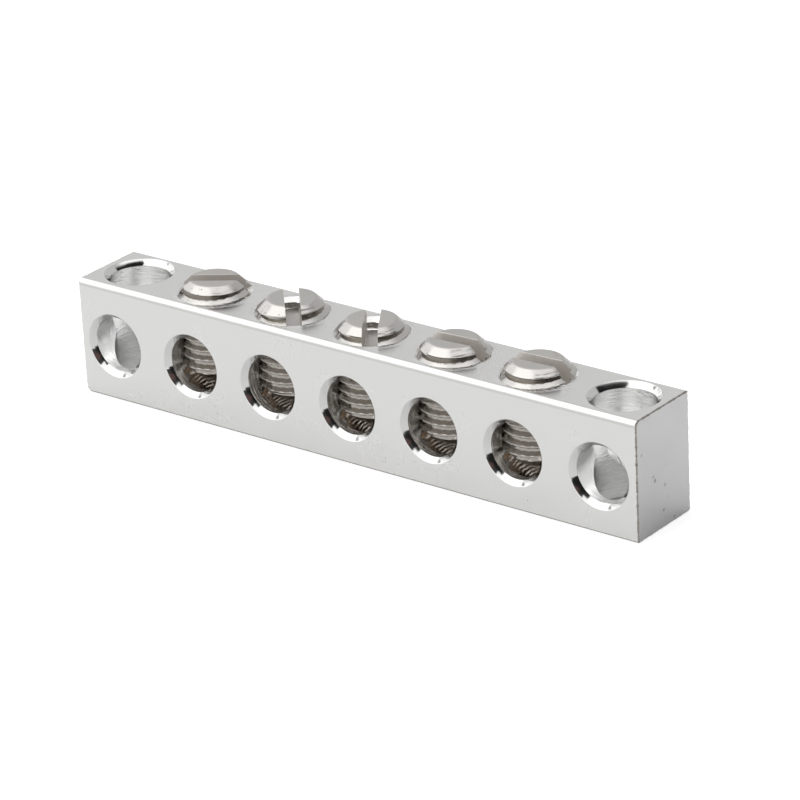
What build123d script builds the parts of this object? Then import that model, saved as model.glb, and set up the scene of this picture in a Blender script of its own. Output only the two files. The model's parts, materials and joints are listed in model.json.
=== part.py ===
from build123d import *

import math
import os

# Terminal bar: one drawn bar with a row of cross holes for wires, and a slotted set screw above each
# clamping hole. The first and last stations of the row carry plain holes for fixing the bar.
# X runs along the bar, Y from the front face to the back face and Z up.
# The origin is the centre of the underside.

# Driving dimensions, in millimetres and degrees
station_pitch = 8.0
clamp_count = 5
end_margin = 3.5
wall_in_front = 0.65
wall_behind = 0.35
thread_diameter = 6.0
thread_drill_diameter = 5.0
drill_point_angle = 118.0
drill_below_wires = 0.2
tap_run_out = 0.7
wire_hole_diameter = 4.7
floor_under_wires = 2.4
thread_above_wires = 2.9
end_hole_diameter = 5.0
mouth_chamfer = 0.4
countersink_angle = 82.0
front_top_round = 0.45
plain_edge_round = 0.2
thread_clearance = 0.05
screw_proud = 1.2
gap_under_screws = 0.8
screw_point_diameter = 4.0
screw_neck_diameter = 5.1
screw_shoulder_chamfer = 0.45
screw_neck_length = 0.25
slot_width = 1.25
slot_depth = 2.05

# How far each screw is turned in past the others, and where its slot points, as found from left to right
turned_in = (0.0, 0.0, 0.1, 0.05, 0.0)
slot_angles = (33.0, -49.0, -56.5, 4.0, 3.0)

# Sizes worked out from them
station_count = clamp_count + 2
row_length = (station_count - 1) * station_pitch
bar_length = row_length + 2 * end_margin
bar_depth = wall_in_front + thread_diameter + wall_behind
bar_height = floor_under_wires + wire_hole_diameter + thread_above_wires
row_y = -bar_depth / 2 + wall_in_front + thread_diameter / 2
wire_hole_height = floor_under_wires + wire_hole_diameter / 2
drill_floor = floor_under_wires - drill_below_wires
drill_point_height = thread_drill_diameter / 2 / math.tan(math.radians(drill_point_angle / 2))
thread_end = drill_floor + tap_run_out
tap_lead = (thread_diameter - thread_drill_diameter) / 2
screw_diameter = thread_diameter - 2 * thread_clearance
screw_length = bar_height + screw_proud - floor_under_wires - gap_under_screws

front_plane = Plane(origin=(0, -bar_depth / 2, wire_hole_height), x_dir=(1, 0, 0), z_dir=(0, -1, 0))
back_plane = Plane(origin=(0, bar_depth / 2, wire_hole_height), x_dir=(1, 0, 0), z_dir=(0, 1, 0))
top_plane = Plane(origin=(0, row_y, bar_height))
under_plane = Plane(origin=(0, row_y, 0), x_dir=(1, 0, 0), z_dir=(0, 0, -1))


def clamping_hole():
    """Makes what the drill and the tap take out at one clamping hole, with its axis on Z."""
    drill_radius = thread_drill_diameter / 2
    thread_radius = thread_diameter / 2
    with BuildPart() as cut:
        with BuildSketch(Plane.XZ):
            with BuildLine():
                Polyline(
                    (0, drill_floor - drill_point_height),
                    (drill_radius, drill_floor),
                    (drill_radius, thread_end - tap_lead),
                    (thread_radius, thread_end),
                    (thread_radius, bar_height),
                    (0, bar_height),
                    close=True,
                )
            make_face()
        revolve(axis=Axis.Z)
    return cut.part


def set_screw(top, x, slot_angle):
    """Makes one headless screw: chamfered shoulder, neck, full thread diameter and a flat point."""
    shoulder_radius = screw_neck_diameter / 2
    full_radius = screw_diameter / 2
    point_radius = screw_point_diameter / 2
    neck_bottom = -screw_shoulder_chamfer - screw_neck_length
    thread_start = neck_bottom - (full_radius - shoulder_radius)
    point_chamfer = full_radius - point_radius
    with BuildPart() as screw:
        with BuildSketch(Plane(origin=(x, row_y, top), x_dir=(1, 0, 0), z_dir=(0, -1, 0))):
            with BuildLine():
                Polyline(
                    (0, 0),
                    (shoulder_radius - screw_shoulder_chamfer, 0),
                    (shoulder_radius, -screw_shoulder_chamfer),
                    (shoulder_radius, neck_bottom),
                    (full_radius, thread_start),
                    (full_radius, point_chamfer - screw_length),
                    (point_radius, -screw_length),
                    (0, -screw_length),
                    close=True,
                )
            make_face()
        revolve(axis=Axis((x, row_y, top), (0, 0, 1)))
        with BuildSketch(Plane(origin=(x, row_y, top))):
            Rectangle(2 * screw_diameter, slot_width, rotation=slot_angle)
        extrude(amount=-slot_depth, mode=Mode.SUBTRACT)
    return screw


# The bar: its drawn section, then the cross holes, the fixing holes and the clamping holes
clamping_cut = clamping_hole()
with BuildPart() as terminal_bar:
    with BuildSketch(Plane.YZ) as section:
        Rectangle(bar_depth, bar_height, align=(Align.CENTER, Align.MIN))
        fillet(section.vertices().group_by(Axis.Y)[-1].sort_by(Axis.X)[0], front_top_round)
        fillet(section.vertices().group_by(Axis.Y)[-1].sort_by(Axis.X)[-1], plain_edge_round)
        fillet(section.vertices().group_by(Axis.Y)[0], plain_edge_round)
    extrude(amount=bar_length / 2, both=True)
    for face_plane in (front_plane, back_plane):
        with Locations(face_plane):
            with GridLocations(station_pitch, 0, station_count, 1):
                CounterSinkHole(
                    wire_hole_diameter / 2,
                    wire_hole_diameter / 2 + mouth_chamfer,
                    depth=bar_depth,
                    counter_sink_angle=countersink_angle,
                )
    for face_plane in (top_plane, under_plane):
        with Locations(face_plane):
            with GridLocations(row_length, 0, 2, 1):
                CounterSinkHole(
                    end_hole_diameter / 2,
                    end_hole_diameter / 2 + mouth_chamfer,
                    depth=bar_height,
                    counter_sink_angle=countersink_angle,
                )
    with Locations((0, row_y, 0)):
        with GridLocations(station_pitch, 0, clamp_count, 1):
            add(clamping_cut, mode=Mode.SUBTRACT)

# Each piece is written to a file of its own
os.makedirs("parts", exist_ok=True)
terminal_bar.part.label = "terminal_bar"
export_step(terminal_bar.part, "parts/terminal_bar.step")

with GridLocations(station_pitch, 0, clamp_count, 1) as clamp_row:
    clamp_places = [place.position.X for place in clamp_row.locations]
for number, (x, drop, slot_angle) in enumerate(zip(clamp_places, turned_in, slot_angles), start=1):
    screw = set_screw(bar_height + screw_proud - drop, x, slot_angle)
    screw.part.label = f"terminal_screw_{number}"
    export_step(screw.part, f"parts/terminal_screw_{number}.step")
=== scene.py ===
import json
import math

import bpy
import numpy as np
from bpy.props import FloatProperty, FloatVectorProperty, PointerProperty
from bpy.types import Operator, Panel, PropertyGroup
from mathutils import Matrix, Vector


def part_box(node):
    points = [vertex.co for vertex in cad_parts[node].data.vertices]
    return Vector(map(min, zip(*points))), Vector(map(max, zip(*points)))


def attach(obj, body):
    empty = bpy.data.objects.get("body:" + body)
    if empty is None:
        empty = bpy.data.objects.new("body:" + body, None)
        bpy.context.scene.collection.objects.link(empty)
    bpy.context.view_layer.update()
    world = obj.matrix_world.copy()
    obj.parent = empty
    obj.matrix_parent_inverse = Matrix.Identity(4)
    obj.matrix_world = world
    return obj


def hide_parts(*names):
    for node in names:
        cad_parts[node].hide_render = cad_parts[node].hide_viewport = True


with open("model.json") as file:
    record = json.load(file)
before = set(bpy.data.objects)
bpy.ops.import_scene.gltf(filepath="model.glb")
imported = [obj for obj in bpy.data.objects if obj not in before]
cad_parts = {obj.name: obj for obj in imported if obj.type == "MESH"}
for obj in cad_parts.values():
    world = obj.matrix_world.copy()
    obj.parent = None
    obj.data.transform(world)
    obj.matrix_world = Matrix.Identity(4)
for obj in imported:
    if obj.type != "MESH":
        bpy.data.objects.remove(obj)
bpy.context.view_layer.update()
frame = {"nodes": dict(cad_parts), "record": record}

bl_info = {
    "name": "Terminal Bar Maker",
    "version": (1, 0, 0),
    "blender": (4, 5, 0),
    "location": "View3D > Sidebar > Terminal Bar",
    "description": "Makes a drilled and plated terminal bar with its slotted clamping screws",
    "category": "Object",
}

MM = 0.001

# What the frame gives: the bar's box, the screws from left to right, the body of each node, the holes
# for fixing the bar, and the row of holes, which has one pitch more than it has screws
BAR_LOW, BAR_HIGH = (np.array(corner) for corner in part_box("terminal_bar"))
SCREW_NODES = sorted(name for name in frame["nodes"] if name.startswith("terminal_screw"))
NODE_BODIES = {
    node: body
    for body, nodes in frame["record"]["behaviour"]["bodies"].items()
    for node in nodes
}
MOUNTS = {mount["name"]: mount for mount in frame["record"]["mounts"]}
UPRIGHT_HOLES = MOUNTS["upright_end_holes"]
CROSS_HOLES = MOUNTS["cross_end_holes"]
ROW_LENGTH = UPRIGHT_HOLES["dims"]["spacing_x_mm"] * MM
ROW_PITCH = ROW_LENGTH / (len(SCREW_NODES) + 1)
ROW_Y = UPRIGHT_HOLES["pos_m"][1]

# What the lengths and the colours that a user can change have in common
LENGTH = {"unit": "LENGTH", "precision": 5}
COLOUR = {"size": 3, "subtype": "COLOR"}

# How finely round forms are cut: points round each, and rings to one pitch of a thread
DRILL_POINTS = 144
TAP_POINTS = 108
TAP_RINGS = 18
SCREW_POINTS = 120
SCREW_RINGS = 24


class BarSizes(PropertyGroup):
    """Sizes of the drilled bar"""

    cross_radius: FloatProperty(
        name="Cross Hole Radius",
        description="Radius of the holes from front to back",
        default=CROSS_HOLES["dims"]["hole_r_mm"] * MM,
        **LENGTH,
    )
    cross_height: FloatProperty(
        name="Cross Hole Height",
        description="Height of the cross holes' axis over the underside",
        default=CROSS_HOLES["pos_m"][2],
        **LENGTH,
    )
    upright_radius: FloatProperty(
        name="Upright Hole Radius",
        description="Radius of the plain upright hole at each end",
        default=UPRIGHT_HOLES["dims"]["hole_r_mm"] * MM,
        **LENGTH,
    )
    mouth_chamfer: FloatProperty(
        name="Mouth Chamfer",
        description="How much wider than its hole a countersunk mouth is, on the radius",
        default=0.4 * MM,
        **LENGTH,
    )
    countersink_angle: FloatProperty(
        name="Countersink Angle",
        description="Angle from side to side of the countersink",
        default=math.radians(82.0),
        subtype="ANGLE",
    )
    knocked_corner: FloatProperty(
        name="Knocked Corner",
        description="Size of the knocked lower front corner at the left end",
        default=0.3 * MM,
        **LENGTH,
    )
    rim_round: FloatProperty(
        name="Rim Round",
        description="Radius at the outer edge of a countersink",
        default=0.13 * MM,
        **LENGTH,
    )
    throat_round: FloatProperty(
        name="Throat Round",
        description="Radius at the inner edge of a countersink",
        default=0.05 * MM,
        **LENGTH,
    )
    drill_radius: FloatProperty(
        name="Tapping Drill Radius",
        description="Radius of the drill that goes in before the tap",
        default=2.5 * MM,
        **LENGTH,
    )
    drill_floor: FloatProperty(
        name="Drill Floor",
        description="Height at which the tapping drill stops, without its point",
        default=2.2 * MM,
        **LENGTH,
    )
    drill_point_angle: FloatProperty(
        name="Drill Point Angle",
        description="Angle from side to side of the drill's point",
        default=math.radians(118.0),
        subtype="ANGLE",
    )
    thread_end: FloatProperty(
        name="Thread End",
        description="Height of the lowest full thread",
        default=2.9 * MM,
        **LENGTH,
    )
    tapped_mouth: FloatProperty(
        name="Tapped Mouth",
        description="Radius of the small countersink over each tapped hole",
        default=3.07 * MM,
        **LENGTH,
    )
    front_top_round: FloatProperty(
        name="Front Top Round",
        description="Radius of the long edge between the front and the top",
        default=0.45 * MM,
        **LENGTH,
    )
    plain_round: FloatProperty(
        name="Plain Edge Round",
        description="Radius of the other three long edges",
        default=0.2 * MM,
        **LENGTH,
    )


class ScrewSizes(PropertyGroup):
    """Sizes of the clamping screws and of the thread that they share with the bar"""

    pitch: FloatProperty(
        name="Thread Pitch",
        description="Travel in one turn",
        default=0.8 * MM,
        **LENGTH,
    )
    thread_radius: FloatProperty(
        name="Tapped Radius",
        description="Radius to the bottom of the thread in the bar",
        default=3.0 * MM,
        **LENGTH,
    )
    clearance: FloatProperty(
        name="Thread Clearance",
        description="Room between the two threads, on the radius",
        default=0.05 * MM,
        **LENGTH,
    )
    root_radius: FloatProperty(
        name="Root Radius",
        description="Radius to the bottom of the screw's thread",
        default=2.53 * MM,
        **LENGTH,
    )
    top_radius: FloatProperty(
        name="Top Radius",
        description="Radius of the flat top",
        default=1.98 * MM,
        **LENGTH,
    )
    shoulder_radius: FloatProperty(
        name="Shoulder Radius",
        description="Radius of the bevel at the end of its drop",
        default=2.56 * MM,
        **LENGTH,
    )
    shoulder_drop: FloatProperty(
        name="Shoulder Drop",
        description="Height of the bevelled shoulder",
        default=0.55 * MM,
        **LENGTH,
    )
    shoulder_crown: FloatProperty(
        name="Shoulder Crown",
        description="How far the bevel stands out at its middle",
        default=0.01 * MM,
        **LENGTH,
    )
    lip_height: FloatProperty(
        name="Lip Height",
        description="How far the lip under the bevel stands out from the neck",
        default=0.03 * MM,
        **LENGTH,
    )
    run_out_drop: FloatProperty(
        name="Run-out Drop",
        description="Depth under the top at which the thread has died away",
        default=0.6 * MM,
        **LENGTH,
    )
    run_out_height: FloatProperty(
        name="Run-out Height",
        description="Climb over which the thread dies away",
        default=0.28 * MM,
        **LENGTH,
    )
    point_radius: FloatProperty(
        name="Point Radius",
        description="Radius of the flat point",
        default=2.0 * MM,
        **LENGTH,
    )
    slot_width: FloatProperty(
        name="Slot Width",
        description="Width of the driver's slot",
        default=1.25 * MM,
        **LENGTH,
    )
    slot_depth: FloatProperty(
        name="Slot Depth",
        description="Depth of the driver's slot below the top",
        default=2.05 * MM,
        **LENGTH,
    )
    slot_lip: FloatProperty(
        name="Slot Lip",
        description="Width of the small break along the slot's upper edges",
        default=0.02 * MM,
        **LENGTH,
    )
    slot_angles: FloatVectorProperty(
        name="Slot Angles",
        description="Direction of each slot, anticlockwise from the bar's length, from left to right",
        size=5,
        default=tuple(math.radians(angle) for angle in (33.0, -49.0, -56.5, 4.0, 3.0)),
        subtype="NONE",
    )
    thread_starts: FloatVectorProperty(
        name="Thread Starts",
        description="Where each thread's crest lies, as a share of a turn",
        size=5,
        default=(0.614, 0.376, 0.376, 0.476, 0.601),
    )


class Finish(PropertyGroup):
    """Colours and gloss of the plated surfaces"""

    bar_colour: FloatVectorProperty(
        name="Bar Plate",
        description="Colour of the plate on the bar",
        default=(0.80, 0.80, 0.785),
        **COLOUR,
    )
    sawn_colour: FloatVectorProperty(
        name="Sawn Ends",
        description="Colour of the plate on the sawn ends",
        default=(0.65, 0.65, 0.65),
        **COLOUR,
    )
    # Also laid along the lower front edge, where this dark colour is a painted shade.
    edge_and_shade_colour: FloatVectorProperty(
        name="Sawn Edges",
        description="Colour of the thin worn plate along the edges of the sawn ends",
        default=(0.38, 0.35, 0.32),
        **COLOUR,
    )
    mouth_colour: FloatVectorProperty(
        name="Countersinks",
        description="Colour of the plate on the countersinks",
        default=(0.69, 0.69, 0.68),
        **COLOUR,
    )
    bore_colour: FloatVectorProperty(
        name="Bores",
        description="Colour of the plate in the cross holes and the upright end holes",
        default=(0.95, 0.95, 0.945),
        **COLOUR,
    )
    tapped_colour: FloatVectorProperty(
        name="Tapped Holes",
        description="Colour of the plate in the tapped holes, near their mouths",
        default=(0.80, 0.79, 0.77),
        **COLOUR,
    )
    # Painted shade: this darker, warmer colour stands in for the shade deep in the tapped holes and on
    # their drilled floors.
    painted_shade_tapped_colour: FloatVectorProperty(
        name="Deep Tapped Holes",
        description="Colour of the thinner plate deep in the tapped holes",
        default=(0.64, 0.57, 0.50),
        **COLOUR,
    )
    screw_colour: FloatVectorProperty(
        name="Screw Plate",
        description="Colour of the plate on the screws",
        default=(0.54, 0.525, 0.505),
        **COLOUR,
    )
    # Painted shade, with some dirt: the dark colour stands in for the shade in the groove under the
    # bevel.
    neck_shade_colour: FloatVectorProperty(
        name="Screw Necks",
        description="Colour of the thin dark plate in the groove under the bevel",
        default=(0.26, 0.235, 0.205),
        **COLOUR,
    )
    # Painted light: lighter than the screw's plate, standing in for light that reaches into the slots.
    slot_painted_light_colour: FloatVectorProperty(
        name="Slots",
        description="Colour of the dull plate in the slots",
        default=(0.70, 0.665, 0.63),
        **COLOUR,
    )
    # Painted shade: this darker colour stands in for the shade on the threads deep in the bar.
    painted_shade_thread_colour: FloatVectorProperty(
        name="Deep Threads",
        description="Colour of the worn plate on the threads deep in the bar",
        default=(0.41, 0.385, 0.355),
        **COLOUR,
    )


class StageSizes(PropertyGroup):
    """Camera, floor and lamp"""

    azimuth: FloatProperty(
        name="Azimuth",
        description="Turn of the camera about the bar, from straight in front towards its right end",
        default=math.radians(38.461),
        subtype="ANGLE",
    )
    elevation: FloatProperty(
        name="Elevation",
        description="Height of the camera as an angle",
        default=math.radians(23.695),
        subtype="ANGLE",
    )
    roll: FloatProperty(
        name="Roll",
        description="Tilt of the camera about its line of sight",
        default=math.radians(-2.857),
        subtype="ANGLE",
    )
    distance: FloatProperty(
        name="Distance",
        description="Distance from the camera to the bar",
        default=338.233 * MM,
        **LENGTH,
    )
    aside: FloatVectorProperty(
        name="Aside",
        description="How far the camera is moved to its own right and up",
        size=2,
        default=(1.809 * MM, 3.814 * MM),
        **LENGTH,
    )
    lens: FloatProperty(
        name="Lens",
        description="Focal length on a sensor 36 mm wide, in millimetres",
        default=191.91,
    )
    key_direction: FloatVectorProperty(
        name="Key Direction",
        description="Way from the bar to the soft lamp",
        size=3,
        default=(-0.5, -0.45, 0.74),
        subtype="DIRECTION",
    )
    key_distance: FloatProperty(
        name="Key Distance",
        description="Distance from the bar to the soft lamp",
        default=0.8,
        unit="LENGTH",
    )
    key_size: FloatProperty(
        name="Key Size",
        description="Side of the soft lamp",
        default=0.9,
        unit="LENGTH",
    )
    key_power: FloatProperty(
        name="Key Power",
        description="Power of the soft lamp in watts",
        default=1.1,
    )
    floor_size: FloatProperty(
        name="Floor Size",
        description="Length of the floor's sides",
        default=3.0,
        unit="LENGTH",
    )


# Meshes: rings of points carried along a path


def add_tube(name, rings, tips, materials, wall_index=0, tip_index=0):
    """Makes a closed mesh through rings of points. Neighbouring rings are joined by four-sided faces,
    and a point closes each end. Rings turn anticlockwise about the way they advance, so that faces
    point out. The wall index is a material's number: one for all the walls, one for each wall between
    two rings, or one for each face of each wall."""
    count, around = rings.shape[:2]
    index = np.arange(count * around).reshape(count, around)
    ahead = np.roll(index, -1, axis=1)
    walls = np.stack([index[:-1], ahead[:-1], ahead[1:], index[1:]], axis=-1).reshape(-1, 4)
    first, last = count * around, count * around + 1
    start_fan = np.stack([np.full(around, first), ahead[0], index[0]], axis=-1)
    end_fan = np.stack([np.full(around, last), index[-1], ahead[-1]], axis=-1)
    points = np.vstack([rings.reshape(-1, 3), tips])
    mesh = bpy.data.meshes.new(name)
    mesh.from_pydata(points.tolist(), [], walls.tolist() + start_fan.tolist() + end_fan.tolist())
    for material in materials:
        mesh.materials.append(material)
    wall_index = np.asarray(wall_index)
    if wall_index.ndim == 1:
        wall_index = wall_index[:, None]
    wall_indexes = np.broadcast_to(wall_index, (count - 1, around)).ravel()
    indexes = np.concatenate([wall_indexes, np.full(2 * around, tip_index)])
    mesh.polygons.foreach_set("material_index", indexes.astype(np.int32))
    piece = bpy.data.objects.new(name, mesh)
    bpy.context.scene.collection.objects.link(piece)
    return piece


def turned_rings(profile, origin, axis, segments):
    """Rings of a turned form: each (radius, height) of the profile goes once round the axis, as
    origin + height * axis + radius * (cos(turn) * side + sin(turn) * (axis x side))."""
    axis = np.asarray(axis, float)
    side = np.array([1.0, 0.0, 0.0])
    turn = np.linspace(0.0, 2 * math.pi, segments, endpoint=False)
    spokes = np.outer(np.cos(turn), side) + np.outer(np.sin(turn), np.cross(axis, side))
    radius, height = np.asarray(profile, float).T
    return np.asarray(origin) + height[:, None, None] * axis + radius[:, None, None] * spokes


def threaded_rings(heights, centre, radius_at, segments):
    """Rings of a threaded form on an upright axis: the radius is a function of turn and height."""
    turn = np.linspace(0.0, 2 * math.pi, segments, endpoint=False)
    turn_grid, height_grid = np.meshgrid(turn, heights)
    radius = radius_at(turn_grid, height_grid)
    return np.stack(
        [centre[0] + radius * np.cos(turn_grid), centre[1] + radius * np.sin(turn_grid), height_grid],
        axis=-1,
    )


def thread_form(turn, height, crest_radius, pitch, start):
    """Radius of a right-hand thread with flanks at 60 degrees: from a narrow flat crest it falls by
    the square root of 3 times the distance along the axis."""
    phase = height / pitch - turn / (2 * math.pi) - start
    off_crest = np.abs(phase - np.round(phase)) * pitch
    crest_half = pitch / 16
    return crest_radius - np.maximum(off_crest - crest_half, 0.0) * math.sqrt(3)


def rounded_section(low, high, rounds, steps, spacing):
    """Outline of the bar's section in Y and Z: a quarter circle at each corner, anticlockwise about X
    from the lower back corner, joined by straight sides with points at an even spacing. Gives the
    points and the direction out of the section at each."""
    corners = [(high[1], low[2]), (high[1], high[2]), (low[1], high[2]), (low[1], low[2])]
    inward = [(-1, 1), (-1, -1), (1, -1), (1, 1)]
    points, outward = [], []
    for quarter, ((y, z), (to_y, to_z), radius) in enumerate(zip(corners, inward, rounds)):
        angle = np.linspace((quarter - 1) * math.pi / 2, quarter * math.pi / 2, steps + 1)
        ray = np.stack([np.cos(angle), np.sin(angle)], axis=-1)
        arc = np.array([y + to_y * radius, z + to_z * radius]) + radius * ray
        if points:
            gap = arc[0] - points[-1][-1]
            share = np.linspace(0, 1, int(np.linalg.norm(gap) / spacing) + 1)[1:-1, None]
            points.append(points[-1][-1] + share * gap)
            outward.append(np.repeat(ray[:1], len(share), axis=0))
        points.append(arc)
        outward.append(ray)
    gap = points[0][0] - points[-1][-1]
    share = np.linspace(0, 1, int(np.linalg.norm(gap) / spacing) + 1)[1:-1, None]
    points.append(points[-1][-1] + share * gap)
    outward.append(np.repeat(outward[0][:1], len(share), axis=0))
    return np.vstack(points), np.vstack(outward)


def merge(pieces, name):
    """Joins the meshes of several pieces into one piece."""
    with bpy.context.temp_override(active_object=pieces[0], selected_editable_objects=pieces):
        bpy.ops.object.join()
    pieces[0].name = name
    return pieces[0]


def cut(piece, cutters):
    """Takes the cutters out of the piece, one after another, and deletes them."""
    for cutter in cutters:
        modifier = piece.modifiers.new("Cut", "BOOLEAN")
        modifier.operation = "DIFFERENCE"
        modifier.solver = "MANIFOLD"
        modifier.object = cutter
    depsgraph = bpy.context.evaluated_depsgraph_get()
    mesh = bpy.data.meshes.new_from_object(piece.evaluated_get(depsgraph))
    piece.modifiers.clear()
    piece.data = mesh
    for cutter in cutters:
        bpy.data.objects.remove(cutter)
    return piece


def smooth(piece, sharp_angle):
    """Shades the piece smooth, apart from edges that turn by more than the angle and from the borders
    of faces that lie square to X, Y or Z, so that those stay flat up to their rounded edges."""
    mesh = piece.data
    mesh.shade_smooth()
    normals = np.empty(3 * len(mesh.polygons), np.float32)
    mesh.polygons.foreach_get("normal", normals)
    normals = normals.reshape(-1, 3)
    loop_edges = np.empty(len(mesh.loops), np.int32)
    mesh.loops.foreach_get("edge_index", loop_edges)
    sizes = np.empty(len(mesh.polygons), np.int32)
    mesh.polygons.foreach_get("loop_total", sizes)
    loop_faces = np.repeat(np.arange(len(sizes)), sizes)
    order = np.argsort(loop_edges, kind="stable")
    first, second = loop_faces[order][0::2], loop_faces[order][1::2]
    turned = np.sum(normals[first] * normals[second], axis=1) < math.cos(sharp_angle)
    nearly_one = 0.99999
    square = np.max(np.abs(normals), axis=1) > nearly_one
    sharp = turned | (square[first] != square[second])
    mesh.attributes.new("sharp_edge", "BOOLEAN", "EDGE").data.foreach_set("value", sharp)


# Materials

# How fine lines are stretched: not at all, along the bar, or round the axis of a hole or a screw
ALL_WAYS = (1.0, 1.0, 1.0)
ALONG_BAR = (0.04, 1.0, 1.0)
ROUND_CROSS_BORE = (0.1, 1.0, 0.1)
ROUND_UPRIGHT_BORE = (0.1, 0.1, 1.0)
ROUND_SCREW = (0.12, 0.12, 1.0)


def node(tree, kind, inputs=(), **settings):
    """Adds a node, sets its options, and sets or links its inputs."""
    made = tree.nodes.new(kind)
    for option, value in settings.items():
        setattr(made, option, value)
    for label, value in dict(inputs).items():
        if isinstance(value, bpy.types.NodeSocket):
            tree.links.new(value, made.inputs[label])
        else:
            made.inputs[label].default_value = value
    return made


def ramp(tree, value, start, end, low, high):
    """A value eased from low to high while the input goes from start to end."""
    made = node(
        tree,
        "ShaderNodeMapRange",
        {"Value": value, "From Min": start, "From Max": end, "To Min": low, "To Max": high},
        interpolation_type="SMOOTHSTEP",
    )
    return made.outputs["Result"]


def maths(tree, operation, first, second=0.0):
    """The result of one sum on one or two values."""
    return node(tree, "ShaderNodeMath", {0: first, 1: second}, operation=operation).outputs["Value"]


def blend(tree, factor, first, second):
    """A colour between two others."""
    made = node(
        tree, "ShaderNodeMix", {"Factor": factor, "A": first, "B": second}, data_type="RGBA"
    )
    return made.outputs["Result"]


def unevenness_group():
    """Node group: lines drawn out along one way, mottling and pits, as masks and as one height."""
    group = bpy.data.node_groups.new("Plate Unevenness", "ShaderNodeTree")
    for label, value in (
        ("Line Scale", 400.0),
        ("Mottle Scale", 300.0),
        ("Pit Scale", 900.0),
        ("Lines", 0.5),
        ("Pits", 0.5),
    ):
        made = group.interface.new_socket(label, in_out="INPUT", socket_type="NodeSocketFloat")
        made.default_value = value
    group.interface.new_socket("Stretch", in_out="INPUT", socket_type="NodeSocketVector")
    for label in ("Mottle", "Height", "Pit Mask"):
        group.interface.new_socket(label, in_out="OUTPUT", socket_type="NodeSocketFloat")
    given = node(group, "NodeGroupInput").outputs
    place = node(group, "ShaderNodeTexCoord").outputs["Object"]
    stretched = node(
        group, "ShaderNodeVectorMath", {0: place, 1: given["Stretch"]}, operation="MULTIPLY"
    ).outputs["Vector"]
    lines = node(
        group, "ShaderNodeTexNoise", {"Vector": stretched, "Scale": given["Line Scale"], "Detail": 6.0}
    ).outputs["Fac"]
    mottle = node(
        group, "ShaderNodeTexNoise", {"Vector": place, "Scale": given["Mottle Scale"], "Detail": 4.0}
    ).outputs["Fac"]
    pits = node(
        group, "ShaderNodeTexVoronoi", {"Vector": place, "Scale": given["Pit Scale"]}
    ).outputs["Distance"]
    scattered = maths(group, "MULTIPLY", ramp(group, pits, 0.2, 0.08, 0.0, 1.0),
                      ramp(group, mottle, 0.55, 0.65, 0.0, 1.0))
    depth = maths(group, "MULTIPLY", scattered, given["Pits"])
    height = maths(group, "SUBTRACT", maths(group, "MULTIPLY", lines, given["Lines"]), depth)
    node(group, "NodeGroupOutput", {"Mottle": mottle, "Height": height, "Pit Mask": depth})
    return group


def burr_group():
    """Node group: a mask that is 1 on the top face close round each tapped hole and fades outwards,
    and the rings that a tool leaves round each hole's axis, drawn a little uneven."""
    inner_edge, outer_edge = 3.1 * MM, 3.7 * MM
    ring_width = 0.26 * MM
    unevenness = 0.6 * MM
    group = bpy.data.node_groups.new("Tapping Burr", "ShaderNodeTree")
    for label in ("Pitch", "Row", "Top"):
        group.interface.new_socket(label, in_out="INPUT", socket_type="NodeSocketFloat")
    for label in ("Mask", "Rings"):
        group.interface.new_socket(label, in_out="OUTPUT", socket_type="NodeSocketFloat")
    given = node(group, "NodeGroupInput").outputs
    place = node(group, "ShaderNodeTexCoord").outputs["Object"]
    parts = node(group, "ShaderNodeSeparateXYZ", {"Vector": place}).outputs
    half = maths(group, "MULTIPLY", given["Pitch"], 0.5)
    minus_half = maths(group, "MULTIPLY", half, -1.0)
    along = node(
        group, "ShaderNodeMath", {0: parts["X"], 1: half, 2: minus_half}, operation="WRAP"
    ).outputs["Value"]
    across = maths(group, "SUBTRACT", parts["Y"], given["Row"])
    along_squared = maths(group, "MULTIPLY", along, along)
    across_squared = maths(group, "MULTIPLY", across, across)
    away = maths(group, "SQRT", maths(group, "ADD", along_squared, across_squared))
    near = ramp(group, away, outer_edge, inner_edge, 0.0, 1.0)
    upper = maths(group, "GREATER_THAN", parts["Z"], given["Top"])
    row_end = maths(group, "MULTIPLY", half, float(len(SCREW_NODES)))
    inside = maths(group, "LESS_THAN", maths(group, "ABSOLUTE", parts["X"]), row_end)
    mask = maths(group, "MULTIPLY", near, maths(group, "MULTIPLY", upper, inside))
    drift = node(
        group, "ShaderNodeTexNoise", {"Vector": place, "Scale": 700.0, "Detail": 3.0}
    ).outputs["Fac"]
    uneven = maths(group, "ADD", away, maths(group, "MULTIPLY", drift, unevenness))
    rings = maths(group, "SINE", maths(group, "MULTIPLY", uneven, 2 * math.pi / ring_width))
    node(group, "NodeGroupOutput", {"Mask": mask, "Rings": rings})
    return group


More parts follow.
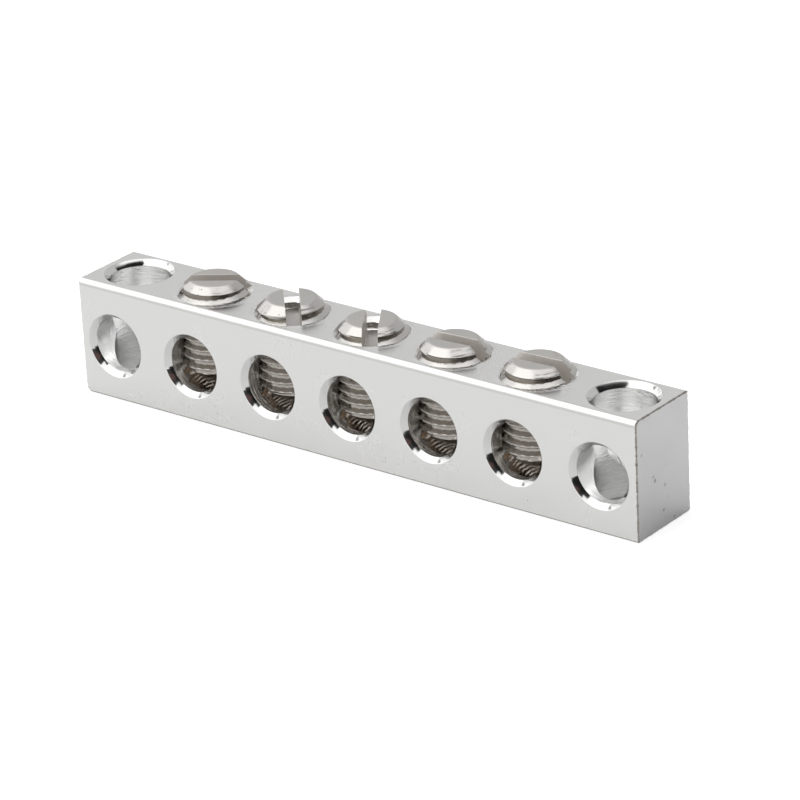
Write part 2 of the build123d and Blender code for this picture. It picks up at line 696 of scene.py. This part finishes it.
def plated_metal(name, colour, roughness, drift, bump, marks, metallic=1.0, painted_shade_colour=None):
    """A plated metal: even colour, darker in its pits, roughness that drifts with the mottling, and the
    unevenness as a bump. A darker colour, a painted shade of the deep holes, takes over below the mouths
    of the tapped holes."""
    pit_shade = 0.35
    deep_start, deep_end = 0.8 * MM, 1.6 * MM
    group = bpy.data.node_groups.get("Plate Unevenness") or unevenness_group()
    material = bpy.data.materials.new(name)
    material.use_nodes = True
    tree = material.node_tree
    shader = tree.nodes["Principled BSDF"]
    uneven = node(tree, "ShaderNodeGroup", node_tree=group)
    for label, value in marks.items():
        uneven.inputs[label].default_value = value
    plate = (*colour, 1.0)
    if painted_shade_colour:
        place = node(tree, "ShaderNodeTexCoord").outputs["Object"]
        height = node(tree, "ShaderNodeSeparateXYZ", {"Vector": place}).outputs["Z"]
        drop = maths(tree, "SUBTRACT", float(BAR_HIGH[2]), height)
        # Painted shade: the colour darkens with the depth below the top face.
        deep = ramp(tree, drop, deep_start, deep_end, 0.0, 1.0)
        plate = blend(tree, deep, plate, (*painted_shade_colour, 1.0))
    pit_colour = [channel * pit_shade for channel in colour]
    tone = blend(tree, uneven.outputs["Pit Mask"], plate, (*pit_colour, 1.0))
    tree.links.new(tone, shader.inputs["Base Color"])
    rough = ramp(tree, uneven.outputs["Mottle"], 0.3, 0.7, roughness - drift, roughness + drift)
    tree.links.new(rough, shader.inputs["Roughness"])
    relief = node(
        tree, "ShaderNodeBump", {"Strength": 1.0, "Distance": bump, "Height": uneven.outputs["Height"]}
    )
    tree.links.new(relief.outputs["Normal"], shader.inputs["Normal"])
    shader.inputs["Metallic"].default_value = metallic
    return material


def around_holes(material):
    """Adds the node group of the marks round the tapped holes to a material. The group takes all that
    lies less than a hair under the top face for part of it."""
    hair = 0.1 * MM
    tree = material.node_tree
    group = bpy.data.node_groups.get("Tapping Burr") or burr_group()
    marks = node(tree, "ShaderNodeGroup", node_tree=group)
    marks.inputs["Pitch"].default_value = ROW_PITCH
    marks.inputs["Row"].default_value = ROW_Y
    marks.inputs["Top"].default_value = float(BAR_HIGH[2]) - hair
    return marks.outputs


def second_bump(material, height, depth):
    """Lays another height over the bump that a material already has."""
    tree = material.node_tree
    first = tree.nodes["Bump"]
    inputs = {"Strength": 1.0, "Distance": depth, "Height": height, "Normal": first.outputs["Normal"]}
    second = node(tree, "ShaderNodeBump", inputs)
    tree.links.new(second.outputs["Normal"], tree.nodes["Principled BSDF"].inputs["Normal"])


def drawn_plate(colour):
    """The bar's own faces: plated metal with a torn burr round each tapped hole."""
    material = plated_metal(
        "Drawn Plate", colour, roughness=0.24, drift=0.05, bump=0.003 * MM,
        marks={"Stretch": ALONG_BAR, "Line Scale": 900.0, "Pit Scale": 2600.0},
    )
    tree = material.node_tree
    place = node(tree, "ShaderNodeTexCoord").outputs["Object"]
    torn = node(
        tree, "ShaderNodeTexNoise", {"Vector": place, "Scale": 4200.0, "Detail": 5.0}
    ).outputs["Fac"]
    burr = maths(tree, "MULTIPLY", torn, around_holes(material)["Mask"])
    second_bump(material, burr, depth=0.09 * MM)
    return material


def worn_edge_plate(bar_colour):
    """The long edge between the front and the top: rubbed along its length, and a little darker than
    the faces."""
    shade = 0.86
    return plated_metal(
        "Worn Edge Plate", [channel * shade for channel in bar_colour], roughness=0.22, drift=0.06,
        bump=0.012 * MM, marks={"Stretch": (0.35, 1.0, 1.0), "Line Scale": 2600.0, "Pits": 0.5},
    )


def sawn_plate(colour):
    """The sawn ends: dull, with pits."""
    return plated_metal(
        "Sawn Plate", colour, roughness=0.34, drift=0.06, bump=0.004 * MM,
        marks={"Stretch": ALL_WAYS, "Pits": 0.7},
    )


def sawn_edge_and_shade_plate(colour):
    """The broken edges of the sawn ends: dark and rough. The same dark colour along the bar's lower
    front edge is a painted shade.
    """
    return plated_metal(
        "Sawn Edge And Shade Plate", colour, roughness=0.4, drift=0.1, bump=0.02 * MM,
        marks={"Stretch": ALL_WAYS, "Line Scale": 3000.0, "Pits": 0.9},
    )


def mouth_plate(colour):
    """The countersinks: almost a mirror."""
    return plated_metal(
        "Mouth Plate", colour, roughness=0.1, drift=0.03, bump=0.006 * MM,
        marks={"Stretch": ALL_WAYS, "Line Scale": 1600.0, "Pits": 0.3},
    )


def bore_plate(name, colour, stretch):
    """The walls of the plain holes: bright, with the drill's marks round the axis."""
    return plated_metal(
        name, colour, roughness=0.2, drift=0.06, bump=0.14 * MM,
        marks={"Stretch": stretch, "Line Scale": 6000.0, "Pits": 0.3},
    )


def tapped_plate(colour, painted_shade_colour):
    """The threads of the tapped holes: bright near the mouth and darker below, a painted shade of the
    deep hole.
    """
    return plated_metal(
        "Tapped Plate", colour, roughness=0.2, drift=0.05, bump=0.004 * MM,
        marks={"Stretch": ALL_WAYS}, painted_shade_colour=painted_shade_colour,
    )


def drilled_plate(colour):
    """The floors of the tapped holes: plated metal with the rings of the drill's point."""
    material = plated_metal(
        "Drilled Plate", colour, roughness=0.2, drift=0.05, bump=0.05 * MM,
        marks={"Stretch": ALL_WAYS, "Line Scale": 1500.0},
    )
    second_bump(material, around_holes(material)["Rings"], depth=0.009 * MM)
    return material


def screw_top_plate(colour):
    """The screws' flat tops: satin."""
    return plated_metal(
        "Screw Top Plate", colour, roughness=0.42, drift=0.08, bump=0.006 * MM,
        marks={"Stretch": ALL_WAYS, "Line Scale": 1500.0, "Pits": 0.4},
    )


def screw_shoulder_plate(colour):
    """The screws' bevels: bright, with turning marks round the axis."""
    return plated_metal(
        "Screw Shoulder Plate", colour, roughness=0.2, drift=0.05, bump=0.09 * MM,
        marks={"Stretch": ROUND_SCREW, "Line Scale": 5000.0, "Pit Scale": 2600.0},
    )


def screw_neck_plate(colour):
    """The grooves under the bevels: dark, a painted shade of the groove with some dirt."""
    return plated_metal(
        "Screw Neck Plate", colour, roughness=0.28, drift=0.06, bump=0.05 * MM,
        marks={"Stretch": ROUND_SCREW, "Line Scale": 5000.0},
    )


def screw_thread_plate(name, colour, painted_shade_colour):
    """The screws' threads: bright near the top and darker deep in the bar, a painted shade."""
    return plated_metal(
        name, colour, roughness=0.18, drift=0.05, bump=0.003 * MM,
        marks={"Stretch": ALL_WAYS, "Line Scale": 2500.0}, painted_shade_colour=painted_shade_colour,
    )


def screw_slot_plate(colour):
    """The slots: dull, lighter than the screw's plate and partly diffuse, as painted light in the slots.
    """
    return plated_metal(
        "Screw Slot Plate", colour, roughness=0.5, drift=0.08, bump=0.01 * MM,
        marks={"Stretch": ALL_WAYS, "Line Scale": 2500.0}, metallic=0.6,
    )


# Numbers of the screws' materials
TOP, SHOULDER, NECK, CREST, FLANK, SLOT = range(6)

# Numbers of the bar's materials
DRAWN, WORN_EDGE, SAWN, SAWN_EDGE_AND_SHADE, MOUTH, CROSS_BORE, UPRIGHT_BORE, TAPPED, DRILLED = range(9)


class TERMINALBAR_OT_make_bar(Operator):
    """Makes the drawn bar with its countersunk, upright and tapped holes"""

    bl_idname = "terminal_bar.make_bar"
    bl_label = "Make Bar"

    def stock(self, sizes, materials):
        """The bar before drilling: its rounded section carried from end to end, with a small uneven
        break at both ends. The break's width is a mean and four sines of the point's number on the
        outline. At the left end's lower front corner it swells, as a bell curve of the distance, but it
        draws the section in by less than the long edges' radius."""
        mean_width, swing = 0.1 * MM, 0.016 * MM
        rates = (0.37, 0.93, 1.71, 2.6)
        knock_reach = 0.45 * MM
        painted_shade_reach = 0.16 * MM
        worn_reach = 1.1 * sizes.front_top_round
        most_inward = 0.9 * sizes.plain_round
        rounds = (sizes.plain_round, sizes.plain_round, sizes.front_top_round, sizes.plain_round)
        outline, outward = rounded_section(BAR_LOW, BAR_HIGH, rounds, steps=12, spacing=0.1 * MM)
        number = np.arange(len(outline))
        width = mean_width + swing * sum(np.sin(number * rate + rate) for rate in rates)
        away = np.linalg.norm(outline - BAR_LOW[1:], axis=1)
        left = width + sizes.knocked_corner * np.exp(-((away / knock_reach) ** 2))
        rings = np.empty((4, len(outline), 3))
        rings[0, :, 0] = BAR_LOW[0]
        rings[1, :, 0] = BAR_LOW[0] + left
        rings[2, :, 0] = BAR_HIGH[0] - width
        rings[3, :, 0] = BAR_HIGH[0]
        inward = -outward * np.minimum(left, most_inward)[:, None]
        rings[:, :, 1:] = [outline + inward, outline, outline, outline - outward * width[:, None]]
        middle = outline.mean(axis=0)
        tips = [(BAR_LOW[0], *middle), (BAR_HIGH[0], *middle)]
        from_edge = np.linalg.norm(outline - np.array([BAR_LOW[1], BAR_HIGH[2]]), axis=1)
        index = np.full((3, len(outline)), SAWN_EDGE_AND_SHADE)
        index[1] = np.where(from_edge < worn_reach, WORN_EDGE, DRAWN)
        # Painted shade: the strip along the lower front edge takes the sawn edges' dark colour, standing
        # in for the floor's contact shadow that this edge reflects.
        index[1, away < painted_shade_reach] = SAWN_EDGE_AND_SHADE
        return add_tube("drilled_bar", rings, tips, materials, index, SAWN)

    def drill(self, sizes, materials, centre, axis, reach, radius, bore_index):
        """What a through drill with a countersink on both sides takes out. The countersink's cone runs
        between two arcs, centre - arc radius * cos(tilt) from the axis and centre + arc radius *
        sin(tilt) high, where the tilt goes from near 90 degrees at the face down to none in the bore. It
        runs on past the face as a wide cone."""
        lean = sizes.countersink_angle / 2
        past = 0.1 * MM
        rim, throat = sizes.rim_round, sizes.throat_round
        first_tilt = math.radians(78.0)
        tilt = np.linspace(first_tilt, lean, 5)
        outer = np.stack([-rim * np.cos(tilt), rim * (np.sin(tilt) - 1)], axis=-1)
        outer[:, 0] += radius + sizes.mouth_chamfer + rim * math.tan(math.pi / 4 - lean / 2)
        outer[:, 1] -= outer[0, 1]
        tilt = np.linspace(lean, 0, 4)
        inner = np.stack([radius + throat * (1 - np.cos(tilt)), throat * np.sin(tilt)], axis=-1)
        inner[:, 1] += outer[-1, 1] - (outer[-1, 0] - inner[0, 0]) / math.tan(lean) - inner[0, 1]
        half = np.vstack([[outer[0] + (4 * past, past)], outer, inner])
        half[:, 1] += reach
        profile = np.vstack([half * (1, -1), half[::-1]])
        rings = turned_rings(profile, centre, axis, DRILL_POINTS)
        tips = [np.asarray(centre) + side * (reach + past) * np.asarray(axis) for side in (-1, 1)]
        cones = [MOUTH] * (len(half) - 1)
        return add_tube("drill", rings, tips, materials, [*cones, bore_index, *cones], MOUTH)

    def tap(self, sizes, materials, thread, centre, start):
        """What the tapping drill and the tap take out: the thread, cut off by the tap's lead cone at
        the bottom, never closer than the drill, over the drill's conical point. At the top a cone at 45
        degrees opens it."""
        past = 0.3 * MM
        lead_start = sizes.thread_end - (thread.thread_radius - sizes.drill_radius)
        top = BAR_HIGH[2] + past
        threaded = np.arange(lead_start, top, thread.pitch / TAP_RINGS)
        heights = np.concatenate([[sizes.drill_floor], threaded, [top]])

        def radius_at(turn, height):
            ridge = thread_form(turn, height, thread.thread_radius, thread.pitch, start)
            lead = sizes.drill_radius + np.maximum(height - lead_start, 0.0)
            mouth = sizes.tapped_mouth + height - BAR_HIGH[2]
            return np.maximum(np.maximum(np.minimum(ridge, lead), sizes.drill_radius), mouth)

        rings = threaded_rings(heights, centre, radius_at, TAP_POINTS)
        point = sizes.drill_floor - sizes.drill_radius / math.tan(sizes.drill_point_angle / 2)
        tips = [(centre[0], centre[1], point), (centre[0], centre[1], top)]
        index = np.where(heights[:-1] < sizes.thread_end, DRILLED, TAPPED)
        return add_tube("tap", rings, tips, materials, index, DRILLED)

    def execute(self, context):
        sizes = context.scene.bar_sizes
        thread = context.scene.screw_sizes
        finish = context.scene.finish
        materials = [
            drawn_plate(finish.bar_colour),
            worn_edge_plate(finish.bar_colour),
            sawn_plate(finish.sawn_colour),
            sawn_edge_and_shade_plate(finish.edge_and_shade_colour),
            mouth_plate(finish.mouth_colour),
            bore_plate("Cross Bore Plate", finish.bore_colour, ROUND_CROSS_BORE),
            bore_plate("Upright Bore Plate", finish.bore_colour, ROUND_UPRIGHT_BORE),
            tapped_plate(finish.tapped_colour, finish.painted_shade_tapped_colour),
            # The drilled floors deep in the holes take the painted shade colour.
            drilled_plate(finish.painted_shade_tapped_colour),
        ]
        bar = self.stock(sizes, materials)
        end_x = ROW_LENGTH / 2
        screw_x = [float(sum(corner[0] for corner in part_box(name)) / 2) for name in SCREW_NODES]
        middle = (BAR_LOW + BAR_HIGH) / 2
        reach = (BAR_HIGH - BAR_LOW) / 2
        cross = [
            self.drill(sizes, materials, (x, middle[1], sizes.cross_height), (0, 1, 0), reach[1],
                       sizes.cross_radius, CROSS_BORE)
            for x in [-end_x, *screw_x, end_x]
        ]
        upright = [
            self.drill(sizes, materials, (x, ROW_Y, middle[2]), (0, 0, 1), reach[2],
                       sizes.upright_radius, UPRIGHT_BORE)
            for x in (-end_x, end_x)
        ]
        taps = [
            self.tap(sizes, materials, thread, (x, ROW_Y), start)
            for x, start in zip(screw_x, thread.thread_starts)
        ]
        cut(bar, [merge(cross, "cross_drills"), merge(upright + taps, "upright_drills")])
        smooth(bar, sharp_angle=math.radians(14))
        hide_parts("terminal_bar")
        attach(bar, NODE_BODIES["terminal_bar"])
        return {"FINISHED"}


class TERMINALBAR_OT_make_screws(Operator):
    """Makes the slotted clamping screws with their threads"""

    bl_idname = "terminal_bar.make_screws"
    bl_label = "Make Screws"

    def body(self, name, sizes, materials, centre, low, high, start):
        """A threaded body. Its radius is the least of three: the thread or the neck, whichever is
        wider; the bevel, a straight line in the drop plus a parabola; and the chamfer of the flat point.
        The thread's depth falls in a straight line with the height of its crest near the top. The neck
        has a lip, a bell curve of the drop. The two topmost rings are drawn in, to break the edge."""
        crest = sizes.thread_radius - sizes.clearance
        lip_reach = 0.05 * MM
        edge_breaks = np.array([[0.05], [0.13]]) * MM
        hair = 0.02 * MM
        groove_reach = 1.3 * MM
        drops = np.concatenate([[0.0, 0.012, 0.04], np.linspace(0.1, 0.7, 25)]) * MM
        threaded = np.arange(low, high - drops[-1] - hair, sizes.pitch / SCREW_RINGS)
        heights = np.concatenate([threaded, (high - drops)[::-1]])

        def radius_at(turn, height):
            drop = high - height
            phase = height / sizes.pitch - turn / (2 * math.pi) - start
            crest_height = height - (phase - np.round(phase)) * sizes.pitch
            depth = (high - sizes.run_out_drop - crest_height) / sizes.run_out_height
            ridge = thread_form(turn, height, crest, sizes.pitch, start) - sizes.root_radius
            ridge = sizes.root_radius + np.maximum(ridge, 0.0) * np.clip(depth, 0.0, 1.0)
            lip = np.exp(-(((drop - sizes.shoulder_drop) / lip_reach) ** 2))
            neck = sizes.root_radius + sizes.lip_height * lip
            slope = (sizes.shoulder_radius - sizes.top_radius) / sizes.shoulder_drop
            share = np.clip(drop / sizes.shoulder_drop, 0.0, 1.0)
            bevel = sizes.top_radius + slope * drop + 4 * sizes.shoulder_crown * share * (1 - share)
            bevel[-2:] -= edge_breaks
            point = sizes.point_radius + height - low
            return np.minimum(np.minimum(np.maximum(ridge, neck), bevel), point)

        rings = threaded_rings(heights, centre, radius_at, SCREW_POINTS)
        radius = np.hypot(rings[:, :, 0] - centre[0], rings[:, :, 1] - centre[1])
        middle = (radius[:-1] + radius[1:]) / 2
        index = np.where(middle > crest - hair, CREST, FLANK)
        # The groove under the bevel takes the neck's dark colour, a painted shade.
        groove = (middle < sizes.root_radius + hair) & (heights[:-1, None] > high - groove_reach)
        index[groove] = NECK
        index[heights[:-1] > high - sizes.shoulder_drop - hair] = SHOULDER
        index[-2:] = TOP
        return add_tube(name, rings, [(*centre, low), (*centre, high)], materials, index, TOP)

    def slot_cutter(self, sizes, materials, centre, high, angle):
        """A cutter along the slot: a straight-sided trough with broken lower corners, which opens a
        little at the screw's top."""
        half = sizes.slot_width / 2
        lip = sizes.slot_lip
        past = 0.4 * MM
        floor = -sizes.slot_depth
        corner = 0.08 * MM
        section = np.array(
            [
                (-half + corner, floor), (half - corner, floor),
                (half, floor + corner), (half, -lip),
                (half + lip + past, past), (-half - lip - past, past),
                (-half, -lip), (-half, floor + corner),
            ]
        )
        along = np.array([math.cos(angle), math.sin(angle), 0.0])
        across = np.array([-math.sin(angle), math.cos(angle), 0.0])
        up = np.array([0.0, 0.0, 1.0])
        top = np.array([centre[0], centre[1], high])
        flat = section[:, :1] * across + section[:, 1:] * up
        reach = 1.2 * sizes.thread_radius
        rings = np.stack([top + flat - reach * along, top + flat + reach * along])
        inner = up * floor / 2
        tips = [top + inner - reach * along, top + inner + reach * along]
        sides = len(section) - 1
        return add_tube("slot_cutter", rings, tips, materials, [[TOP] + sides * [SLOT]], SLOT)

    def execute(self, context):
        sizes = context.scene.screw_sizes
        finish = context.scene.finish
        materials = [
            screw_top_plate(finish.screw_colour),
            screw_shoulder_plate(finish.screw_colour),
            screw_neck_plate(finish.neck_shade_colour),
            screw_thread_plate("Screw Crest Plate", finish.screw_colour, finish.painted_shade_thread_colour),
            screw_thread_plate("Screw Flank Plate", finish.screw_colour, finish.painted_shade_thread_colour),
            screw_slot_plate(finish.slot_painted_light_colour),
        ]
        for name, angle, start in zip(SCREW_NODES, sizes.slot_angles, sizes.thread_starts):
            low, high = (np.array(corner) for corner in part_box(name))
            centre = (low[:2] + high[:2]) / 2
            piece = name.replace("terminal", "clamping")
            screw = self.body(piece, sizes, materials, centre, low[2], high[2], start)
            cut(screw, [self.slot_cutter(sizes, materials, centre, high[2], angle)])
            smooth(screw, sharp_angle=math.radians(24))
            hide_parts(name)
            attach(screw, NODE_BODIES[name])
        return {"FINISHED"}


class TERMINALBAR_OT_make_stage(Operator):
    """Makes the floor, the surroundings, the lamp and the camera"""

    bl_idname = "terminal_bar.make_stage"
    bl_label = "Make Stage"

    def camera(self, scene, stage):
        """Places the camera by azimuth, elevation, roll and distance, looking at the bar."""
        turn, rise = stage.azimuth, stage.elevation
        level = math.cos(rise)
        back = Vector((math.sin(turn) * level, -math.cos(turn) * level, math.sin(rise)))
        right = Vector((0, 0, 1)).cross(back).normalized()
        up = back.cross(right)
        rolled_right = math.cos(stage.roll) * right + math.sin(stage.roll) * up
        rolled_up = -math.sin(stage.roll) * right + math.cos(stage.roll) * up
        place = back * stage.distance + rolled_right * stage.aside[0] + rolled_up * stage.aside[1]
        data = bpy.data.cameras.new("Camera")
        data.lens = stage.lens
        data.sensor_width = 36.0
        camera = bpy.data.objects.new("Camera", data)
        camera.matrix_world = Matrix.Translation(place) @ Matrix(
            (rolled_right, rolled_up, back)
        ).transposed().to_4x4()
        scene.collection.objects.link(camera)
        scene.camera = camera

    def world(self, scene):
        """Surroundings: white to the camera. To the metal they are a dark room with bright areas on the
        left and in front, behind and overhead, stronger in front than at the back. Dark spots lie in
        them: a wide one round the camera, with a warm middle, and a row of small ones on the left."""
        room_light = 0.015
        front_start, front_slope = 0.53, 8.0
        camera_way = (0.57, -0.72, 0.40)
        overhead_way = (-0.266, 0.316, 0.911)
        soft_edge = 1.0
        white = (1.0, 1.0, 1.0, 1.0)
        warm_middle = (0.13, 0.08, 0.074, 1.0)
        world = bpy.data.worlds.new("Studio")
        world.use_nodes = True
        scene.world = world
        tree = world.node_tree
        background = tree.nodes["Background"]
        way = node(tree, "ShaderNodeTexCoord").outputs["Generated"]
        parts = node(tree, "ShaderNodeSeparateXYZ", {"Vector": way}).outputs

        def towards(direction):
            """How far the way goes along a direction."""
            return node(
                tree, "ShaderNodeVectorMath", {0: way, 1: direction}, operation="DOT_PRODUCT"
            ).outputs["Value"]

        def spot(direction, outer, inner, low, high):
            """A value that goes from low to high between two angles off a direction, in degrees."""
            outer_part, inner_part = (math.cos(math.radians(angle)) for angle in (outer, inner))
            return ramp(tree, towards(direction), outer_part, inner_part, low, high)

        # Bright areas: the left one ends along X, but reaches round to the right past the front's start
        slant = maths(tree, "MINIMUM", maths(tree, "ADD", parts["Y"], front_start), 0.0)
        across = maths(tree, "ADD", parts["X"], maths(tree, "MULTIPLY", slant, front_slope))
        left = ramp(tree, across, 0.20, 0.14, 0.0, 1.0)
        behind = ramp(tree, parts["Y"], 0.62, 0.68, 0.0, 1.0)
        overhead = ramp(tree, towards(overhead_way), 0.59, 0.64, 0.0, 1.0)
        bright = maths(tree, "MAXIMUM", maths(tree, "MAXIMUM", left, behind), overhead)
        strength = ramp(tree, parts["Y"], 0.60, 0.20, 0.67, 1.40)
        level = maths(tree, "MULTIPLY", bright, strength)

        # Dark spots: where each lies, its radius in degrees, and the share of light that it leaves
        dark_spots = (
            (camera_way, 23.0, 0.03),
            ((-0.84, -0.17, 0.515), 4.5, 0.04),
            ((-0.88, -0.06, 0.46), 4.0, 0.04),
            ((-0.925, 0.06, 0.37), 4.0, 0.04),
            ((-0.95, 0.17, 0.25), 4.5, 0.1),
            ((-0.92, 0.28, 0.2), 4.0, 0.2),
            ((-0.87, 0.42, 0.25), 7.0, 0.35),
        )
        for direction, radius, left_over in dark_spots:
            shade = spot(direction, radius + soft_edge, radius - soft_edge, 1.0, left_over)
            level = maths(tree, "MULTIPLY", level, shade)
        level = maths(tree, "ADD", level, room_light)
        grey = node(tree, "ShaderNodeCombineXYZ", {"X": level, "Y": level, "Z": level}).outputs["Vector"]
        seen = blend(tree, spot(camera_way, 13.0, 7.0, 0.0, 1.0), grey, warm_middle)
        to_camera = node(tree, "ShaderNodeLightPath").outputs["Is Camera Ray"]
        tree.links.new(blend(tree, to_camera, seen, white), background.inputs["Color"])

    def key_lamp(self, scene, stage):
        """One wide soft lamp, up on the left in front."""
        data = bpy.data.lights.new("Key", "AREA")
        data.shape = "SQUARE"
        data.size = stage.key_size
        data.energy = stage.key_power
        back = Vector(stage.key_direction).normalized()
        lamp = bpy.data.objects.new("Key", data)
        lamp.matrix_world = Matrix.Translation(back * stage.key_distance) @ back.to_track_quat(
            "Z", "Y"
        ).to_matrix().to_4x4()
        scene.collection.objects.link(lamp)

    def floor(self, scene, stage):
        """A plain white floor a hair under the bar. To the camera part of its white is its own light,
        so that its shadow is faint."""
        lit_white = (0.85, 0.85, 0.85, 1.0)
        seen_white = (0.45, 0.45, 0.45, 1.0)
        own_light = 0.75
        half = stage.floor_size / 2
        height = -0.01 * MM
        corners = [(-half, -half), (half, -half), (half, half), (-half, half)]
        mesh = bpy.data.meshes.new("Floor")
        mesh.from_pydata([(x, y, height) for x, y in corners], [], [(0, 1, 2, 3)])
        floor = bpy.data.objects.new("Floor", mesh)
        scene.collection.objects.link(floor)
        material = bpy.data.materials.new("Floor White")
        material.use_nodes = True
        tree = material.node_tree
        shader = tree.nodes["Principled BSDF"]
        shader.inputs["Roughness"].default_value = 1.0
        shader.inputs["Specular IOR Level"].default_value = 0.0
        to_camera = node(tree, "ShaderNodeLightPath").outputs["Is Camera Ray"]
        paint = blend(tree, to_camera, lit_white, seen_white)
        tree.links.new(paint, shader.inputs["Base Color"])
        shader.inputs["Emission Color"].default_value = (1.0, 1.0, 1.0, 1.0)
        glow = maths(tree, "MULTIPLY", to_camera, own_light)
        tree.links.new(glow, shader.inputs["Emission Strength"])
        mesh.materials.append(material)

    def execute(self, context):
        scene = context.scene
        scene.view_settings.view_transform = "Standard"
        self.camera(scene, scene.stage_sizes)
        self.world(scene)
        self.key_lamp(scene, scene.stage_sizes)
        self.floor(scene, scene.stage_sizes)
        return {"FINISHED"}


class TERMINALBAR_PT_maker(Panel):
    """Lists what the add-on makes"""

    bl_idname = "TERMINALBAR_PT_maker"
    bl_label = "Terminal Bar"
    bl_space_type = "VIEW_3D"
    bl_region_type = "UI"
    bl_category = "Terminal Bar"

    def draw(self, context):
        for operator in OPERATORS:
            self.layout.operator(operator.bl_idname)


SETTINGS = {
    "bar_sizes": BarSizes,
    "screw_sizes": ScrewSizes,
    "finish": Finish,
    "stage_sizes": StageSizes,
}
OPERATORS = (TERMINALBAR_OT_make_bar, TERMINALBAR_OT_make_screws, TERMINALBAR_OT_make_stage)


def register():
    for settings in SETTINGS.values():
        bpy.utils.register_class(settings)
    for name, settings in SETTINGS.items():
        setattr(bpy.types.Scene, name, PointerProperty(type=settings))
    for operator in OPERATORS:
        bpy.utils.register_class(operator)
    bpy.utils.register_class(TERMINALBAR_PT_maker)


def unregister():
    bpy.utils.unregister_class(TERMINALBAR_PT_maker)
    for operator in reversed(OPERATORS):
        bpy.utils.unregister_class(operator)
    for name in SETTINGS:
        delattr(bpy.types.Scene, name)
    for settings in SETTINGS.values():
        bpy.utils.unregister_class(settings)


def main():
    register()
    bpy.ops.terminal_bar.make_bar()
    bpy.ops.terminal_bar.make_screws()
    bpy.ops.terminal_bar.make_stage()


if __name__ == "__main__":
    main()
